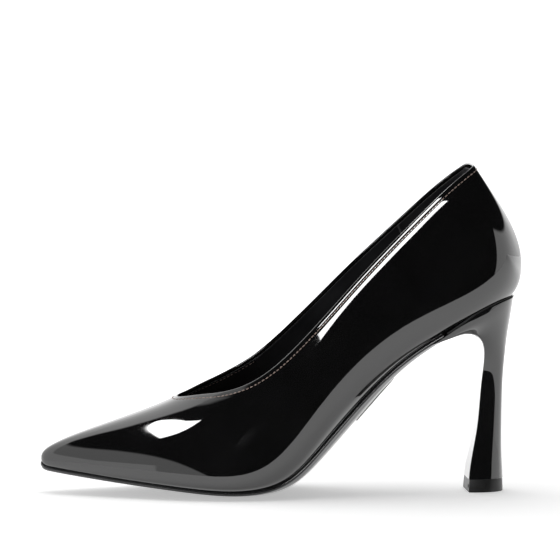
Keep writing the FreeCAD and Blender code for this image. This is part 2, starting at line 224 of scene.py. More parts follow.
# Each section: bottom x and z, ridge x and z, sideways place of bottom and ridge, five half widths
# from the bottom up, and how high up the section the first four of them are.
LAST = [
    (-115.0, 16.6, -115.0, 16.6, 6.5, 6.5, 0.0, 0.0, 0.0, 0.0, 0.0, 0.00, 0.20, 0.50, 0.80),
    (-115.0, 13.2, -115.0, 19.6, 6.5, 6.5, 2.4, 3.2, 3.2, 2.6, 1.2, 0.02, 0.20, 0.50, 0.80),
    (-110.0, 12.2, -110.0, 23.2, 6.3, 6.4, 5.2, 6.6, 6.4, 5.0, 2.4, 0.02, 0.16, 0.50, 0.80),
    (-98.0, 10.4, -99.0, 28.0, 5.4, 6.0, 11.4, 13.2, 12.8, 9.4, 4.2, 0.02, 0.14, 0.50, 0.80),
    (-78.0, 7.8, -82.0, 33.8, 3.4, 5.6, 20.6, 22.8, 22.2, 15.4, 6.6, 0.02, 0.12, 0.48, 0.80),
    (-55.0, 5.0, -64.0, 40.0, 1.4, 5.0, 29.8, 32.4, 31.4, 21.4, 9.0, 0.03, 0.11, 0.46, 0.80),
    (-33.0, 2.4, -48.0, 46.4, 0.0, 4.6, 35.6, 38.8, 37.6, 25.8, 11.0, 0.03, 0.11, 0.44, 0.80),
    (-14.0, 1.5, -33.0, 57.0, -0.6, 4.0, 35.2, 39.4, 38.6, 27.8, 12.0, 0.04, 0.12, 0.43, 0.80),
    (4.0, 3.8, -18.0, 73.0, -1.0, 3.0, 29.6, 35.2, 36.6, 28.8, 13.0, 0.07, 0.15, 0.43, 0.80),
    (20.0, 20.0, -2.0, 91.0, -1.0, 2.0, 23.6, 30.6, 33.6, 28.8, 13.6, 0.09, 0.16, 0.42, 0.80),
    (36.0, 38.2, 15.0, 110.0, -0.6, 1.2, 20.8, 28.2, 31.6, 28.2, 14.0, 0.09, 0.17, 0.41, 0.78),
    (54.0, 59.4, 32.0, 129.0, -0.2, 0.6, 20.8, 27.6, 30.2, 26.8, 13.0, 0.05, 0.14, 0.40, 0.76),
    (74.0, 74.0, 47.0, 145.0, 0.0, 0.2, 22.0, 27.6, 29.4, 25.6, 12.4, 0.03, 0.13, 0.39, 0.75),
    (96.0, 84.4, 59.0, 157.0, 0.0, 0.0, 20.8, 26.4, 28.4, 24.2, 11.8, 0.03, 0.13, 0.39, 0.75),
    (111.6, 92.6, 68.0, 164.0, 0.0, 0.0, 14.8, 23.6, 27.0, 22.4, 10.8, 0.04, 0.15, 0.41, 0.75),
    (117.0, 104.0, 74.0, 168.0, 0.0, 0.0, 10.4, 20.8, 25.0, 20.6, 10.0, 0.05, 0.18, 0.44, 0.75),
    (115.4, 120.0, 77.0, 171.0, 0.0, 0.0, 8.8, 17.4, 21.2, 17.2, 8.4, 0.06, 0.24, 0.48, 0.77),
    (106.6, 137.6, 79.0, 173.0, 0.0, 0.0, 7.2, 13.6, 16.2, 13.0, 6.4, 0.06, 0.25, 0.50, 0.78),
    (93.0, 155.5, 80.0, 175.0, 0.0, 0.0, 4.8, 8.6, 10.0, 8.0, 4.0, 0.06, 0.25, 0.50, 0.80),
    (80.0, 176.0, 80.0, 176.0, 0.0, 0.0, 0.0, 0.0, 0.0, 0.0, 0.0, 0.00, 0.20, 0.50, 0.80),
]

# the cut of the opening seen from the side: x, z, and how much higher it is on the inner side
TOPLINE = np.array([
    (-50.5, 46.0, 0.0), (-45.0, 46.9, 0.8), (-39.2, 47.6, 2.8), (-30.3, 49.3, 4.6),
    (-21.4, 52.4, 5.2), (-12.5, 57.2, 5.2), (-3.4, 64.1, 5.2), (8.0, 75.0, 4.8), (19.5, 87.2, 4.0),
    (34.9, 104.0, 2.7), (50.3, 120.0, 1.3), (65.8, 135.2, 0.5), (77.0, 145.6, 0.3),
    (84.5, 151.8, 0.1), (91.0, 156.6, 0.0), (99.0, 162.4, 0.0),
]) * MM
SPANS, AROUND = len(LAST) - 3, 14


def last_points():
    # the control points of the last: one ring for each section, from the bottom over the outer side
    rings = []
    for s in LAST:
        heights = (s[11], s[12], s[13], s[14], 1.0)
        walls = list(zip(s[6:11], heights))
        marks = [(0.0, 0.0), (-0.55 * s[6], 0.0)] + [(-w, h) for w, h in walls] + [(0.0, 1.0)]
        marks += [(w, h) for w, h in reversed(walls)] + [(0.55 * s[6], 0.0)]
        rings.append([(s[0] + (s[2] - s[0]) * h, s[4] + (s[5] - s[4]) * h + w,
                       s[1] + (s[3] - s[1]) * h) for w, h in marks])
    return np.array(rings) * MM


RINGS = last_points()
KNOTS = np.concatenate([np.zeros(3), np.arange(SPANS + 1), np.full(3, SPANS)])


def along_weights(u):
    # how much each section pulls at u: a cubic spline with its ends held
    u = np.clip(u, 0.0, SPANS - 1e-9)
    weights = np.zeros((len(u), len(KNOTS) - 1))
    for i in range(len(KNOTS) - 1):
        weights[:, i] = (u >= KNOTS[i]) & (u < KNOTS[i + 1])
    for degree in (1, 2, 3):
        raised = np.zeros((len(u), len(KNOTS) - 1 - degree))
        for i in range(len(KNOTS) - 1 - degree):
            low, high = KNOTS[i + degree] - KNOTS[i], KNOTS[i + degree + 1] - KNOTS[i + 1]
            if low > 0:
                raised[:, i] += (u - KNOTS[i]) / low * weights[:, i]
            if high > 0:
                raised[:, i] += (KNOTS[i + degree + 1] - u) / high * weights[:, i + 1]
        weights = raised
    return weights


def round_weights(v):
    # how much each of a section's points pulls at v: a cubic spline that closes on itself
    whole = np.floor(v).astype(int)
    f = v - whole
    weights = np.zeros((len(v), AROUND))
    row = np.arange(len(v))
    for step, w in enumerate(((1 - f) ** 3 / 6, (3 * f ** 3 - 6 * f ** 2 + 4) / 6,
                              (-3 * f ** 3 + 3 * f ** 2 + 3 * f + 1) / 6, f ** 3 / 6)):
        weights[row, (whole - 1 + step) % AROUND] += w
    return weights


def last_at(u, v):
    # points on the last; u runs from toe to heel, v round the section: 0 bottom, 7 ridge
    u, v = np.broadcast_arrays(np.asarray(u, float), np.asarray(v, float))
    spots = np.einsum("ka,kb,abc->kc", along_weights(u.ravel()), round_weights(v.ravel()), RINGS,
                      optimize=True)
    return spots.reshape(u.shape + (3,))


def last_normal(u, v):
    # the direction straight out of the last
    step = 1e-3
    u, v = np.broadcast_arrays(np.asarray(u, float), np.asarray(v, float))
    u = np.clip(u, 0.02, SPANS - 0.02)
    du = last_at(u + step, v) - last_at(u - step, v)
    dv = last_at(u, v + step) - last_at(u, v - step)
    n = np.cross(du, dv)
    return n / np.linalg.norm(n, axis=-1, keepdims=True)


# the sections are in the last maker's own coordinates; HOME brings them to the middle of the shoe
whole_last = last_at(np.linspace(0.0, 16.0, 200)[:, None], np.linspace(0.0, 14.0, 141)[None])
HOME = np.array([-0.5 * (whole_last[..., 0].min() + whole_last[..., 0].max()),
                 -0.5 * (whole_last[..., 1].min() + whole_last[..., 1].max()), 0.0])


def smooth_line(xs, ys, at):
    # a natural cubic through the points, read at new places
    h = np.diff(xs)
    n = len(xs)
    left = np.eye(n)
    right = np.zeros(n)
    for i in range(1, n - 1):
        left[i, i - 1:i + 2] = (h[i - 1], 2.0 * (h[i - 1] + h[i]), h[i])
        right[i] = 6.0 * ((ys[i + 1] - ys[i]) / h[i] - (ys[i] - ys[i - 1]) / h[i - 1])
    bend = np.linalg.solve(left, right)
    k = np.clip(np.searchsorted(xs, at) - 1, 0, n - 2)
    a, b = xs[k + 1] - at, at - xs[k]
    return ((bend[k] * a ** 3 + bend[k + 1] * b ** 3) / (6.0 * h[k])
            + (ys[k] / h[k] - bend[k] * h[k] / 6.0) * a
            + (ys[k + 1] / h[k] - bend[k + 1] * h[k] / 6.0) * b)


FOOT_WIDE = 50.0 * MM


def over_topline(spots):
    # how far points stand above the cut of the opening; never, in front of its lowest point
    x, y = spots[..., 0], spots[..., 1]
    height = smooth_line(TOPLINE[:, 0], TOPLINE[:, 1], x)
    inner = smooth_line(TOPLINE[:, 0], TOPLINE[:, 2], x)
    above = spots[..., 2] - height - (y / FOOT_WIDE + 0.5) * inner
    return np.where(x < TOPLINE[0, 0], -1.0, above)


RIDGE = 7.0
WALL_STEPS = np.linspace(0.0, RIDGE, 561)


def first_over(field, us):
    # up each column, the place where the field first rises above nothing, or the ridge
    over = field > 0.0
    first = np.argmax(over, axis=1)
    row = np.arange(len(us))
    below = np.maximum(first - 1, 0)
    low, high = field[row, below], field[row, first]
    share = np.where(high > low, -low / np.where(high > low, high - low, 1.0), 0.0)
    found = WALL_STEPS[below] + np.clip(share, 0.0, 1.0) * (WALL_STEPS[1] - WALL_STEPS[0])
    return np.where(over.any(axis=1), np.where(first > 0, found, 0.0), RIDGE)


def on_side(up_wall, side):
    # a wall is counted from the bottom up; the inner side's is the outer side's seen in a mirror
    return up_wall if side < 0 else AROUND - up_wall


def top_of_wall(us, side):
    # where the wall of one side ends: at the topline, or at the ridge in front of the opening
    us = np.atleast_1d(us)
    return first_over(over_topline(last_at(us[:, None], on_side(WALL_STEPS[None], side))), us)


def last_u(test, low, high):
    # the last section place for which the test holds
    for _ in range(30):
        middle = 0.5 * (low + high)
        if test(middle):
            low = middle
        else:
            high = middle
    return low


AT_RIDGE = 6.999
THROAT = last_u(lambda u: min(top_of_wall(u, -1)[0], top_of_wall(u, 1)[0]) > AT_RIDGE, 4.0, 8.0)
PEAK = last_u(lambda u: top_of_wall(u, -1)[0] > 1e-3, 12.0, 16.9)


def run_along(line):
    # how far along a line each of its points is
    return np.concatenate([[0.0], np.cumsum(np.linalg.norm(np.diff(line, axis=0), axis=1))])


def wall_columns(u_values, side, low_w, offsets, rows):
    # places on the last, column by column from the bottom edge up to the topline or ridge; the
    # offsets are the rows next to the top, closer together where a column is short
    short_wall = 14.0 * MM
    us = np.repeat(u_values[:, None], rows, 1)
    ws = np.zeros_like(us)
    tops = top_of_wall(u_values, side)
    for k, u in enumerate(u_values):
        fine = np.linspace(low_w(u), tops[k], 160)
        run = run_along(last_at(u, on_side(fine, side)))
        full = max(run[-1], 1e-9)
        near = np.array(offsets) * min(1.0, full / short_wall)
        spread = np.linspace(0.0, full - near[-1], rows - len(near) + 1)[:-1]
        ws[k] = np.interp(np.concatenate([spread, full - near[::-1]]), run, fine)
    return us, ws


def sheet_mesh(name, spots):
    # a grid, pulled into shape point by point
    across, up = spots.shape[:2]
    bpy.ops.object.select_all(action="DESELECT")
    bpy.ops.mesh.primitive_grid_add(x_subdivisions=across - 1, y_subdivisions=up - 1, size=2.0)
    piece = bpy.context.object
    piece.name = name
    flat = np.empty(len(piece.data.vertices) * 3)
    piece.data.vertices.foreach_get("co", flat)
    flat = flat.reshape(-1, 3)
    i = np.rint((flat[:, 0] + 1.0) * 0.5 * (across - 1)).astype(int)
    j = np.rint((flat[:, 1] + 1.0) * 0.5 * (up - 1)).astype(int)
    piece.data.vertices.foreach_set("co", (spots[i, j] + HOME).ravel())
    piece.data.update()
    return piece


def join(name, pieces, merge=2e-6):
    # sews sheets into one piece where their edges meet
    bpy.ops.object.select_all(action="DESELECT")
    for piece in pieces:
        piece.select_set(True)
    bpy.context.view_layer.objects.active = pieces[0]
    if len(pieces) > 1:
        bpy.ops.object.join()
    piece = bpy.context.object
    piece.name = name
    bpy.ops.object.mode_set(mode="EDIT")
    bpy.ops.mesh.select_all(action="SELECT")
    bpy.ops.mesh.remove_doubles(threshold=merge)
    bpy.ops.mesh.dissolve_degenerate(threshold=1e-7)
    bpy.ops.mesh.select_all(action="SELECT")
    bpy.ops.mesh.normals_make_consistent(inside=False)
    bpy.ops.object.mode_set(mode="OBJECT")
    bpy.ops.object.shade_smooth()
    return piece


def give_wall(piece, wall):
    # makes a sheet as thick as its leather, towards its back
    thick = piece.modifiers.new("thick", "SOLIDIFY")
    thick.thickness = wall
    thick.offset = -1.0
    bpy.ops.object.select_all(action="DESELECT")
    piece.select_set(True)
    bpy.context.view_layer.objects.active = piece
    for modifier in list(piece.modifiers):
        bpy.ops.object.modifier_apply(modifier=modifier.name)
    bpy.ops.object.transform_apply(location=True, rotation=True, scale=True)


def face_out(piece, outward):
    # turns an open sheet over if most of its faces look the wrong way
    mesh = piece.data
    votes = 0.0
    for polygon in list(mesh.polygons)[::7]:
        votes += polygon.normal.dot(Vector(outward(np.array(polygon.center))))
    if votes < 0.0:
        mesh.flip_normals()


def dress(piece, finish):
    piece.data.materials.clear()
    piece.data.materials.append(finish)


# columns stand closer together at the throat and at the peak of the back
spacing_front = THROAT * (1.0 - (1.0 - np.linspace(0.0, 1.0, 90)) ** 1.35)
spacing_front[0] = 0.0
swing = 0.5 - 0.5 * np.cos(np.pi * np.linspace(0.0, 1.0, 200))
spacing_back = THROAT + (PEAK - THROAT) * swing
UPPER_U = np.concatenate([spacing_front, spacing_back[1:]])
EDGE_ROWS = np.array([0.0, 0.35, 0.7, 1.05, 1.4, 1.75, 2.1, 2.5, 3.0, 3.8, 5.0, 7.0]) * MM


def margin(u):
    # the leather turns in under the foot, and closes on the centre line at the back
    return np.interp(u, [0.0, 11.8, 13.6, 17.0], [0.9, 0.9, 0.0, 0.0])


columns = {}
for side in (-1, 1):
    us, ws = wall_columns(UPPER_U, side, margin, EDGE_ROWS, 60)
    vs = on_side(ws, side)
    columns[side] = (last_at(us, vs), last_normal(us, vs))

from_throat = len(spacing_front) - 1


def round_opening(of_column):
    # the top row back along the outer side and forward again along the inner side
    outer_row, inner_row = (columns[side][of_column][from_throat:, -1] for side in (-1, 1))
    return np.concatenate([outer_row, inner_row[:-1][::-1]])[:-1]


# the closed line round the opening, with its outward and upward directions
rim_spots, rim_out = round_opening(0), round_opening(1)
rim_along = np.roll(rim_spots, -1, 0) - np.roll(rim_spots, 1, 0)
rim_along /= np.linalg.norm(rim_along, axis=1, keepdims=True)
rim_up = np.cross(rim_out, rim_along)
rim_up /= np.linalg.norm(rim_up, axis=1, keepdims=True)
if rim_up[:, 2].mean() < 0.0:
    rim_up = -rim_up


def from_rim(spots):
    # the distance of every place to the line round the opening; one metre if it's plainly far
    far_below, sole_side = -16.0 * MM, 30.0 * MM
    flat = spots.reshape(-1, 3)
    far = np.full(len(flat), 1.0)
    near = np.where(over_topline(flat) > far_below)[0]
    near = near[flat[near, 2] > sole_side]
    starts, steps = rim_spots, np.roll(rim_spots, -1, 0) - rim_spots
    lengths = np.maximum((steps ** 2).sum(1), 1e-14)
    dots = (starts * steps).sum(1)
    for block in np.array_split(near, max(1, len(near) // 4000)):
        spot = flat[block]
        share = np.clip((spot @ steps.T - dots) / lengths, 0.0, 1.0)
        away = ((spot ** 2).sum(1)[:, None] + (starts ** 2).sum(1) - 2.0 * spot @ starts.T
                - 2.0 * share * (spot @ steps.T - dots) + share ** 2 * lengths)
        far[block] = np.sqrt(np.maximum(away.min(1), 0.0))
    return far.reshape(spots.shape[:-1])


# The thread sinks a groove two millimetres below the fold, the leather crowns between the two, and the
# fold rolls over the tape and runs down inside.
STITCH_DOWN = 2.0 * MM
ROLL = 0.55 * MM
UPPER_WALL = 0.5 * MM
pieces = []
for side in (-1, 1):
    spots, out = columns[side]
    gap = from_rim(spots)
    sunk = 0.10 * MM * np.exp(-((gap - STITCH_DOWN) / (0.5 * MM)) ** 2)
    crown = 0.03 * MM * np.exp(-((gap - 0.9 * MM) / (0.6 * MM)) ** 2)
    settle = np.clip(gap / (0.4 * MM), 0.0, 1.0)
    pieces.append(sheet_mesh("upper_wall", spots + out * ((crown - sunk) * settle)[..., None]))

turn_over = np.linspace(0.0, math.pi, 9)
rolled = [rim_spots - rim_out * (ROLL * (1.0 - math.cos(a))) + rim_up * (ROLL * math.sin(a))
          for a in turn_over]
rolled += [rolled[-1] - rim_up * down for down in (0.8 * MM, 2.0 * MM, 3.5 * MM, 5.0 * MM)]
rolled = np.array(rolled).transpose(1, 0, 2)
pieces.append(sheet_mesh("upper_fold", np.concatenate([rolled, rolled[:1]])))
outer_leather = join("patent_upper", pieces, 4e-6)
face_out(outer_leather, lambda spot: (0.0, math.copysign(1.0, spot[1]), 0.0))
upper_tree = BVHTree.FromObject(outer_leather, bpy.context.evaluated_depsgraph_get())
give_wall(outer_leather, UPPER_WALL)


def patent(name, depth, ripple, ripple_size):
    # black leather under a clear high gloss film that waves a little
    leather, tree, spot = new_finish(name)
    cloud = noise(tree, spot, 45.0, 4.0)
    black = shade_between(tree, cloud, 0.3, (depth, depth, depth * 1.06),
                          0.7, (depth * 1.7, depth * 1.7, depth * 1.8))
    lift = bump(tree, 1.0, ripple, noise(tree, spot, ripple_size, 1.0))
    surface(tree, Base_Color=black, Roughness=cloud * 0.02 + 0.02, IOR=1.55, Specular_IOR_Level=0.6,
            Normal=lift, Coat_Weight=1.0, Coat_Roughness=0.015, Coat_IOR=1.58)
    return leather


dress(outer_leather, patent("black_patent", 0.004, 0.00006, 60.0))
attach(outer_leather, "root")
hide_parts("outer_upper", "topline_tape")


# ---------------------------------------------------------------- the lining
# Thin smooth black leather glued to the inside: a vamp lining in front, two quarters and a grip
# round the heel, each lapped over the one in front, and sewn in along the fold.
LINING_DOWN = 0.9 * MM
LINING_WALL = 0.35 * MM


def lining_tops(us, side):
    # where the lining ends, a little below the fold
    spots = last_at(us[:, None], on_side(WALL_STEPS[None], side))
    gap = from_rim(spots)
    return first_over(np.where(over_topline(spots) > 0.0, gap, -gap) + LINING_DOWN, us)


lining_us = np.concatenate([np.linspace(0.0, 4.4, 90)[:-1], np.linspace(4.4, 5.2, 240)[:-1],
                            np.linspace(5.2, PEAK, 330)])
LINING_TOPS = {side: lining_tops(lining_us, side) for side in (-1, 1)}
LINING_THROAT = min(float(lining_us[np.argmax(LINING_TOPS[side] < AT_RIDGE)]) for side in (-1, 1))
LINING_PEAK = last_u(lambda u: lining_tops(np.array([u]), -1)[0] > 1e-3, 12.0, PEAK)


def seam_line(x, z, lean, shares, side):
    # where a leaning seam plane crosses the wall, row by row
    us = np.linspace(LINING_THROAT + 0.05, LINING_PEAK, 500)
    tops = np.interp(us, lining_us, LINING_TOPS[side])
    lows = margin(us)
    ws = lows[:, None] + (tops - lows)[:, None] * shares[None]
    spots = last_at(us[:, None], on_side(ws, side))
    behind = spots[..., 0] - x - (z - spots[..., 2]) * math.tan(math.radians(lean))
    return us[np.argmax(behind > 0.0, axis=0)]


def lining_sheet(name, us, shares, side, lap):
    # it lies deeper below the outside of the shoe the further it is from the fold, where the
    # stiffeners and the backer end
    from_fold = np.array([0.0, 1.0, 3.0, 6.0, 12.0]) * MM
    how_deep = np.array([1.7, 1.9, 2.2, 2.6, 2.9]) * MM
    tops = np.interp(us, lining_us, LINING_TOPS[side])
    lows = margin(us)
    vs = on_side(lows + (tops - lows) * shares[None], side)
    spots, out = last_at(us, vs), last_normal(us, vs)
    depth = np.interp(from_rim(spots), from_fold, how_deep) + lap
    return sheet_mesh(name, spots - out * depth[..., None])


def lining_piece(name, pieces, *nodes):
    piece = join(name, pieces, 1.5e-5)
    face_out(piece, lambda spot: (0.0, -math.copysign(1.0, spot[1]), 0.0))
    give_wall(piece, LINING_WALL)
    dress(piece, lining_leather)
    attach(piece, "root")
    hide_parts(*nodes)


lining_leather, tree, spot = new_finish("lining_leather")
grain = tree.add("ShaderNodeTexVoronoi", values={"Vector": spot, "Scale": 1800.0}, out="Distance")
cloud = noise(tree, spot, 70.0, 5.0)
dye = shade_between(tree, cloud, 0.25, (0.006, 0.006, 0.008), 0.75, (0.012, 0.012, 0.016))
lift = bump(tree, 0.35, 0.00004, grain)
surface(tree, Base_Color=dye, Roughness=cloud * 0.2 + 0.32, Normal=lift, Specular_IOR_Level=0.45)

# two leaning seams: where a side view crosses them (x, z) and how far they lean, in degrees
VAMP_SEAM = (-13.3 * MM, 63.7 * MM, 31.0)
GRIP_SEAM = (57.7 * MM, 128.0 * MM, 18.0)
OVERLAP = 0.12
QUARTER_LAP, GRIP_LAP = 0.4 * MM, 0.8 * MM
shares = 1.0 - (1.0 - np.linspace(0.0, 1.0, 44)) ** 1.6
front_us = np.concatenate([np.linspace(0.4, LINING_THROAT - 0.5, 40)[:-1],
                           np.linspace(LINING_THROAT - 0.5, LINING_THROAT, 24)])
sheets = []
for side in (-1, 1):
    seam = seam_line(*VAMP_SEAM, shares, side) + OVERLAP
    steps = np.linspace(0.0, 1.0, 70)[1:, None] ** 1.25
    us = np.concatenate([np.repeat(front_us[:, None], len(shares), 1),
                         LINING_THROAT + (seam - LINING_THROAT) * steps])
    sheets.append(lining_sheet("vamp_inside", us, shares, side, 0.0))
lining_piece("vamp_inside", sheets, "vamp_lining")

for side, name, node in ((-1, "quarter_inside_outer", "quarter_lining_outside"),
                         (1, "quarter_inside_inner", "quarter_lining_inside")):
    low = seam_line(*VAMP_SEAM, shares, side)
    high = seam_line(*GRIP_SEAM, shares, side) + OVERLAP
    us = low + (high - low) * np.linspace(0.0, 1.0, 110)[:, None]
    lining_piece(name, [lining_sheet(name, us, shares, side, QUARTER_LAP)], node)

sheets = []
for side in (-1, 1):
    low = seam_line(*GRIP_SEAM, shares, side)
    steps = np.sin(0.5 * np.pi * np.linspace(0.0, 1.0, 120))[:, None]
    us = low + (LINING_PEAK - 0.002 - low) * steps
    sheets.append(lining_sheet("heel_grip", us, shares, side, GRIP_LAP))
lining_piece("heel_grip", sheets, "heel_grip_lining")


# ---------------------------------------------------------------- the topline stitching
# One row of tan thread holds the folded edge, tape and lining together. It was sewn with a short
# stitch, two millimetres below the fold, all the way round, and shows outside and inside.
PITCH = 2.05 * MM
SEWN_THROUGH = 2.05 * MM
rim_run = run_along(np.concatenate([rim_spots, rim_spots[:1]]))
stitch_count = int(rim_run[-1] / PITCH)
stitch_at = (np.arange(stitch_count) + 0.5) * rim_run[-1] / stitch_count


def round_rim(values, at):
    # values of the line round the opening, read at even distances along it
    closed = np.concatenate([values, values[:1]])
    return np.stack([np.interp(at, rim_run, closed[:, k]) for k in range(3)], -1)


# a stitch is a small flattened bead whose ends dive into the leather; half its length, width and rise
HALF_LONG, HALF_WIDE, RISE, DIVE, STAND = 0.84 * MM, 0.27 * MM, 0.20 * MM, 0.16 * MM, 0.07 * MM
bpy.ops.object.select_all(action="DESELECT")
bpy.ops.mesh.primitive_uv_sphere_add(segments=8, ring_count=6, radius=1.0)
stitch = bpy.context.object
stitch_shape = np.empty(len(stitch.data.vertices) * 3)
stitch.data.vertices.foreach_get("co", stitch_shape)
stitch_shape = stitch_shape.reshape(-1, 3)
stitch_faces = [list(p.vertices) for p in stitch.data.polygons]
bpy.data.objects.remove(stitch)
stitch_out = round_rim(rim_out, stitch_at)
stitch_along = round_rim(rim_along, stitch_at)
stitch_up = round_rim(rim_up, stitch_at)
thread_points, thread_faces = [], []
for sign, depth in ((1.0, 0.0), (-1.0, SEWN_THROUGH)):
    places = round_rim(rim_spots - rim_up * STITCH_DOWN, stitch_at) - stitch_out * depth
    for k in range(stitch_count):
        base = places[k] + HOME
        if sign > 0.0:
            base = np.array(upper_tree.find_nearest(Vector(base))[0])
        away = stitch_out[k] * sign
        bead = (stitch_shape[:, 2:3] * stitch_along[k] * HALF_LONG
                + stitch_shape[:, 0:1] * stitch_up[k] * HALF_WIDE
                + stitch_shape[:, 1:2] * away * RISE)
        bead -= away * (np.abs(stitch_shape[:, 2:3]) ** 3 * DIVE)
        first = len(stitch_shape) * len(thread_points)
        thread_faces += [[v + first for v in face] for face in stitch_faces]
        thread_points.append(base + away * STAND + bead)
thread_mesh = bpy.data.meshes.new("topline_stitching")
thread_mesh.from_pydata(np.concatenate(thread_points).tolist(), [], thread_faces)
stitching = bpy.data.objects.new("topline_stitching", thread_mesh)
scene.collection.objects.link(stitching)
stitching = join("topline_stitching", [stitching], 1e-8)
cotton, tree, spot = new_finish("tan_thread")
fibre = noise(tree, spot, 1400.0, 3.0)
tan = shade_between(tree, fibre, 0.3, (0.30, 0.20, 0.16), 0.7, (0.52, 0.40, 0.34))
surface(tree, Base_Color=tan, Roughness=0.55, Normal=bump(tree, 0.6, 0.00006, fibre),
        Sheen_Weight=0.3)
dress(stitching, cotton)
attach(stitching, "root")


# ---------------------------------------------------------------- the sock
# A thin black leather sock glued over foam, thicker under the heel. It lies on the insole, from wall
# to wall for most of its length, and its middle stands a little proud.
IN_FROM_OUTSIDE = 3.1 * MM
SOCK_RISE = 6.6 * MM
CROWN, EDGE_SINK = 1.1 * MM, 0.4 * MM
SOCK_THICK = 2.2 * MM
sock_us = np.concatenate([np.linspace(0.9, 13.9, 150), np.linspace(13.9, 14.35, 14)[1:]])
across = np.linspace(-1.0, 1.0, 41)
sock_rows = []
for u in sock_us:
    fine = np.linspace(0.0, 6.0, 241)
    ends = []
    low = last_at(u, 0.0)
    floor_up = -last_normal(u, 0.0)
    for side in (-1, 1):
        v = on_side(fine, side)
        wall_line = last_at(u, v) - last_normal(u, v) * IN_FROM_OUTSIDE
        height = (wall_line - low) @ floor_up
        # the side of the sock stands where the lining is this far above the bottom
        first = int(np.argmax((height > SOCK_RISE) & (fine > 0.4)))
        ends.append(wall_line[first])
    middle = 0.5 * (ends[0] + ends[1])
    half = 0.5 * (ends[1] - ends[0])
    proud = CROWN * (1.0 - np.abs(across) ** 2.6) - EDGE_SINK
    sock_rows.append(middle + half * across[:, None] + floor_up * proud[:, None])
sock = sheet_mesh("sock", np.array(sock_rows))
sock = join("sock", [sock])
face_out(sock, lambda spot: (0.0, 0.0, 1.0))
give_wall(sock, SOCK_THICK)
sock_leather, tree, spot = new_finish("sock_leather")
pores = tree.add("ShaderNodeTexVoronoi", values={"Vector": spot, "Scale": 1300.0}, out="Distance")
cloud = noise(tree, spot, 55.0, 5.0)
dye = shade_between(tree, cloud, 0.25, (0.008, 0.008, 0.009), 0.75, (0.016, 0.016, 0.018))
surface(tree, Base_Color=dye, Roughness=cloud * 0.15 + 0.42, Normal=bump(tree, 0.4, 0.00006, pores))
dress(sock, sock_leather)
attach(sock, "root")
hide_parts("sock_lining", "sock_foam", "heel_cushion")


# ---------------------------------------------------------------- the outsole
# Thin lacquered leather sole bonded under the foot. Its edge is rounded and stands a hair inside the
# upper, and its back end is trapped under the lip of the heel.
SOLE_THICK = 2.0 * MM
SUNK_IN = 0.3 * MM

# the rounded edge, from the upper down: outward and downward, in millimetres
SOLE_EDGE = [(-0.4, -0.25), (0.25, -0.1), (0.62, 0.25), (0.82, 0.7), (0.86, 1.1), (0.74, 1.5),
             (0.42, 1.82), (0.0, 1.96)]


def sole_ring(u, v_edge):
    # one cut across the sole; at the toe its thickness points down, not forward
    forward = np.interp(u, [0.2, 1.6], [0.0, 1.0])
    inside = (np.linspace(-1.0, 1.0, 17) * v_edge) % AROUND
    facing = last_normal(u, inside)
    facing[:, 0] *= forward
    facing /= np.linalg.norm(facing, axis=1, keepdims=True)
    top = last_at(u, inside) - facing * SUNK_IN
    bottom = last_at(u, inside) + facing * SOLE_THICK
    ring = list(top[1:-1][::-1])
    for sign in (-1.0, 1.0):
        v = (sign * v_edge) % AROUND
        edge = last_at(u, v)
        down = last_normal(u, v)
        down[0] *= 0.3 * forward
        down[1] *= 0.25
        down /= np.linalg.norm(down)
        outward = np.array([0.0, -sign, 0.0])
        marks = [edge + outward * a * MM + down * b * MM for a, b in SOLE_EDGE]
        ring += marks if sign < 0 else marks[::-1]
        if sign < 0:
            ring += list(bottom[1:-1])
    return np.array(ring)


SOLE_BACK = 78.0 * MM
sole_end = last_u(lambda u: last_at(u, 0.0)[0] < SOLE_BACK, 10.0, 13.0)
sole_us = np.concatenate([np.linspace(0.22, 1.2, 30)[:-1], np.linspace(1.2, sole_end, 170)])
rings = np.array([sole_ring(u, np.interp(u, [0.2, 1.0], [1.45, 1.72])) for u in sole_us])

# the nose closes in five rings, each a share of the first cut and some way in front of it
tip = rings[0].mean(0)
nose = [tip + (rings[0] - tip) * share - np.array([ahead * MM, 0.0, 0.0])
        for share, ahead in ((0.0, 0.5), (0.4, 0.48), (0.7, 0.38), (0.9, 0.2), (0.98, 0.08))]
back = rings[-1].mean(0)
back_cap = [back + (rings[-1] - back) * share for share in (0.5, 0.0)]
rings = np.concatenate([np.array(nose), rings, np.array(back_cap)])
rings = np.concatenate([rings, rings[:, :1]], 1)
sole = join("lacquered_outsole", [sheet_mesh("lacquered_outsole", rings)], 3e-6)
lacquer, tree, spot = new_finish("sole_lacquer")
cloud = noise(tree, spot, 90.0, 5.0)
scuff = noise(tree, spot, 2500.0, 2.0)
dark = shade_between(tree, cloud, 0.3, (0.014, 0.014, 0.015), 0.7, (0.024, 0.024, 0.026))
surface(tree, Base_Color=dark, Roughness=cloud * 0.1 + 0.16, Normal=bump(tree, 0.3, 0.00003, scuff),
        Coat_Weight=0.6, Coat_Roughness=0.05)
dress(sole, lacquer)
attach(sole, "root")
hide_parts("outsole")


# ---------------------------------------------------------------- the heel
# A moulded plastic heel wrapped in the same patent leather. The wrap is folded in at the cup, which
# leaves a thin dark gap under the upper, and turned under at the top piece.

# Each section from the floor up: front x and z, back x and z, and half the width.
HEEL = np.array([
    (89.4, 0.0, 107.7, 0.0, 12.4), (89.8, 6.0, 107.5, 6.0, 11.2), (91.7, 18.0, 106.9, 18.0, 8.6),
    (94.0, 30.0, 106.8, 30.0, 7.2), (95.4, 43.0, 107.0, 43.0, 6.5), (96.5, 55.0, 107.5, 56.0, 6.5),
    (97.4, 65.0, 108.6, 68.0, 8.0), (94.9, 74.2, 109.8, 77.5, 12.6), (87.0, 76.6, 111.4, 87.0, 17.4),
    (79.0, 74.6, 112.6, 95.0, 20.8), (71.0, 72.0, 113.4, 101.5, 22.0),
]) * MM

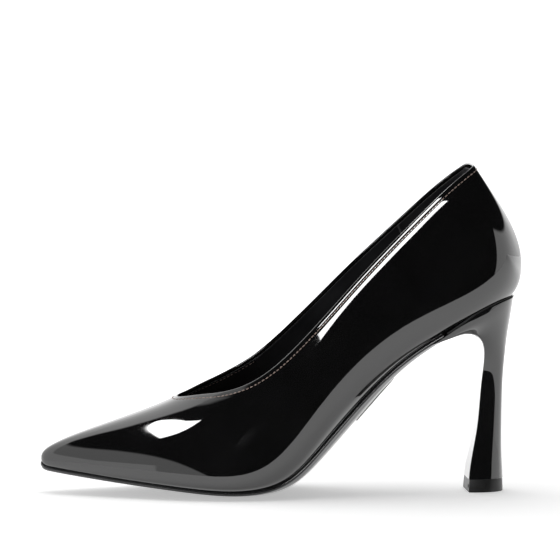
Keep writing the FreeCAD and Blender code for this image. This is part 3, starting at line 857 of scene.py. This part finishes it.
# a section's outline round the back: how far back, and sideways as a share of half the width
HEEL_SHAPE = np.array([
    (0.0, -0.95), (0.28, -1.0), (0.58, -0.93), (0.83, -0.68), (0.96, -0.36), (1.0, 0.0),
    (0.96, 0.36), (0.83, 0.68), (0.58, 0.93), (0.28, 1.0), (0.0, 0.95),
])
heel_run = run_along(HEEL[:, :2] + HEEL[:, 2:4])
shape_run = run_along(HEEL_SHAPE)
END_BIT, FULL = 0.12, shape_run[-1]
at = np.concatenate([np.linspace(0.0, END_BIT, 4)[:-1], np.linspace(END_BIT, FULL - END_BIT, 58),
                     np.linspace(FULL - END_BIT, FULL, 4)[1:]])
curve = np.stack([smooth_line(shape_run, HEEL_SHAPE[:, k], at) for k in (0, 1)], -1)
breast = np.stack([np.zeros(21), np.linspace(0.93, -0.93, 21)], -1)
corner_in, corner_out = [[0.004, 0.944]], [[0.004, -0.944]]
outline = np.concatenate([curve[1:-1], corner_in, breast, corner_out, curve[1:2]])


def heel_line(runs, mark):
    # a line up the skin of the heel: how far up, and where round the section
    rows = [smooth_line(heel_run, HEEL[:, k], runs) for k in range(5)]
    front = np.stack([rows[0], np.zeros_like(rows[0]), rows[1]], -1)
    back = np.stack([rows[2], np.zeros_like(rows[0]), rows[3]], -1)
    spots = front + (back - front) * mark[0]
    spots[..., 1] = rows[4] * mark[1]
    return spots


# the back half of the last as a mesh, to measure how far the heel is from it
ALONG, ROUND = 240, 200
grid_u, grid_v = np.linspace(6.0, 15.0, ALONG), np.linspace(-5.5, 5.5, ROUND)
last_patch = last_at(grid_u[:, None], grid_v[None] % AROUND)
number = np.arange(ALONG * ROUND).reshape(ALONG, ROUND)
quads = np.stack([number[:-1, :-1], number[1:, :-1], number[1:, 1:], number[:-1, 1:]], -1)
last_tree = BVHTree.FromPolygons(last_patch.reshape(-1, 3).tolist(), quads.reshape(-1, 4).tolist())


def off_last(spot):
    # how far a place is outside the last, and the direction straight out of it there
    hit, facing, _, _ = last_tree.find_nearest(Vector(spot))
    down = np.array(facing)
    middle = np.array([spot[0] - 0.02, 0.0, spot[2] + 0.03])
    if down @ (middle - np.array(hit)) > 0.0:
        down = -down
    return float((np.array(spot) - np.array(hit)) @ down), down


def cup_gap(x):
    # how far the cup stops short of the upper; in front it has to clear the sole
    return np.interp(x, [0.077, 0.079, 0.084], [2.15 * MM, 2.1 * MM, 0.9 * MM])


# the wrap starts on the top piece and goes up to the cup; lip and foot are rounded off and folded in
WRAP_BOTTOM = 6.0 * MM
HEEL_MIDDLE = 98.5 * MM
CUP_MIDDLE = 98.0 * MM
LIP_ROUND = 0.5 * MM
FIRST_NEAR_CUP = 140  # no step below this one comes near the upper
bottom_run = float(np.interp(WRAP_BOTTOM, 0.5 * (HEEL[:, 1] + HEEL[:, 3]), heel_run))
runs = np.linspace(bottom_run, heel_run[-1], 260)
cover_columns = []
for mark in outline:
    line = heel_line(runs, mark)
    line[:, 2] = np.maximum(line[:, 2], WRAP_BOTTOM)
    end = len(runs) - 1
    for k in range(FIRST_NEAR_CUP, len(runs)):
        away, down = off_last(line[k])
        if away < cup_gap(line[k][0]):
            end = k
            break
    before, _ = off_last(line[end - 1])
    away, down = off_last(line[end])
    want = cup_gap(line[end][0])
    share = np.clip((before - want) / max(before - away, 1e-9), 0.0, 1.0)
    stop = line[end - 1] + (line[end] - line[end - 1]) * share
    path = np.concatenate([line[:end], stop[None]])
    length = run_along(path)
    step = np.linspace(0.0, 1.0, 110)
    even = step * (length[-1] - LIP_ROUND) + 0.3 * MM * (1.0 - step)
    column = np.stack([np.interp(even, length, path[:, k]) for k in range(3)], -1)
    upward = stop - column[-1]
    upward /= np.linalg.norm(upward)
    centre = np.array([0.5 * (path[-1][0] + CUP_MIDDLE), 0.0, path[-1][2]])
    inward = centre - stop
    inward -= down * (inward @ down)
    inward /= np.linalg.norm(inward)
    lip = [column[-1] + upward * LIP_ROUND * math.sin(a) + inward * LIP_ROUND * (1.0 - math.cos(a))
           for a in (0.4, 0.8, 1.2, math.pi / 2)]
    lip += [lip[-1] + inward * d * MM - down * d * 0.15 * MM for d in (0.8, 2.0, 3.5)]
    middle = np.array([HEEL_MIDDLE, 0.0, column[0][2]])
    fold_in = (middle - column[0]) / np.linalg.norm(middle - column[0])
    foot = [column[0] + fold_in * d * MM - np.array([0.0, 0.0, drop * MM])
            for d, drop in ((2.6, 0.28), (0.5, 0.28), (0.18, 0.2))]
    cover_columns.append(np.array(foot + list(column) + lip))
cover = join("heel_wrap", [sheet_mesh("heel_wrap", np.array(cover_columns))], 1e-6)
face_out(cover, lambda spot: (spot[0] - HEEL_MIDDLE, spot[1], 0.0))
dress(cover, patent("heel_patent", 0.006, 0.00004, 90.0))
bpy.ops.object.select_all(action="DESELECT")
cover.select_set(True)
bpy.context.view_layer.objects.active = cover
bpy.ops.object.shade_smooth_by_angle(angle=math.radians(38.0))
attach(cover, "root")
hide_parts("heel_cover")


# ---------------------------------------------------------------- the top piece, plaque and inner parts
# The hard black top piece is pushed into the heel on its steel pin, the blank plaque is pinned under
# the waist, and the rest is buried in the shoe: boards, shank, stiffeners, filler, rivets, screw and
# nails.


def plain_finish(name, low, high, scale, rough, metal=0.0, relief=0.00003,
                 stretch=(1.0, 1.0, 1.0)):
    # a cloudy colour from low to high, fine relief, and gloss that varies with the cloud
    finish, tree, spot = new_finish(name)
    aligned = tree.add("ShaderNodeMapping", values={"Vector": spot, "Scale": stretch})
    cloud = noise(tree, aligned, scale, 5.0)
    fine = noise(tree, aligned, scale * 14.0, 2.0)
    surface(tree, Base_Color=shade_between(tree, cloud, 0.3, low, 0.7, high),
            Roughness=cloud * 0.12 + (rough - 0.06), Metallic=metal,
            Normal=bump(tree, 0.5, relief, fine))
    return finish


URETHANE = plain_finish("top_piece_urethane", (0.016, 0.016, 0.016), (0.028, 0.028, 0.028),
                        160.0, 0.34)
BRUSHED = plain_finish("brushed_steel", (0.42, 0.41, 0.40), (0.52, 0.51, 0.50), 90.0, 0.3,
                       metal=1.0, relief=0.00001, stretch=(0.1, 1.0, 1.0))
STEEL = plain_finish("plain_steel", (0.38, 0.38, 0.39), (0.55, 0.55, 0.56), 120.0, 0.35, metal=1.0)
BRASS = plain_finish("brass_rivet", (0.50, 0.36, 0.16), (0.66, 0.50, 0.25), 150.0, 0.33, metal=1.0)
BOARD = plain_finish("fibre_board", (0.30, 0.22, 0.14), (0.42, 0.32, 0.22), 130.0, 0.8)
CORK = plain_finish("cork_filler", (0.25, 0.15, 0.08), (0.45, 0.29, 0.17), 600.0, 0.9, relief=0.0001)
FABRIC = plain_finish("stiff_fabric", (0.42, 0.40, 0.36), (0.55, 0.53, 0.49), 240.0, 0.85)
CLOTH = plain_finish("backing_cloth", (0.05, 0.05, 0.05), (0.09, 0.09, 0.09), 300.0, 0.9)
PLASTIC = plain_finish("heel_plastic", (0.03, 0.03, 0.03), (0.05, 0.05, 0.05), 140.0, 0.45)
for finish, nodes in (
        (URETHANE, ("top_piece",)), (BRUSHED, ("sole_plaque",)),
        (STEEL, ("heel_tube", "top_piece_pin", "steel_shank", "heel_screw", "heel_nails")),
        (BRASS, ("shank_rivets", "plaque_pins")), (BOARD, ("insole_forepart", "insole_backpart")),
        (CORK, ("bottom_filler",)), (FABRIC, ("toe_puff", "heel_counter")),
        (CLOTH, ("backer_outside", "backer_inside", "back_stay")), (PLASTIC, ("heel_block",))):
    for node in nodes:
        dress(bpy.data.objects[node], finish)
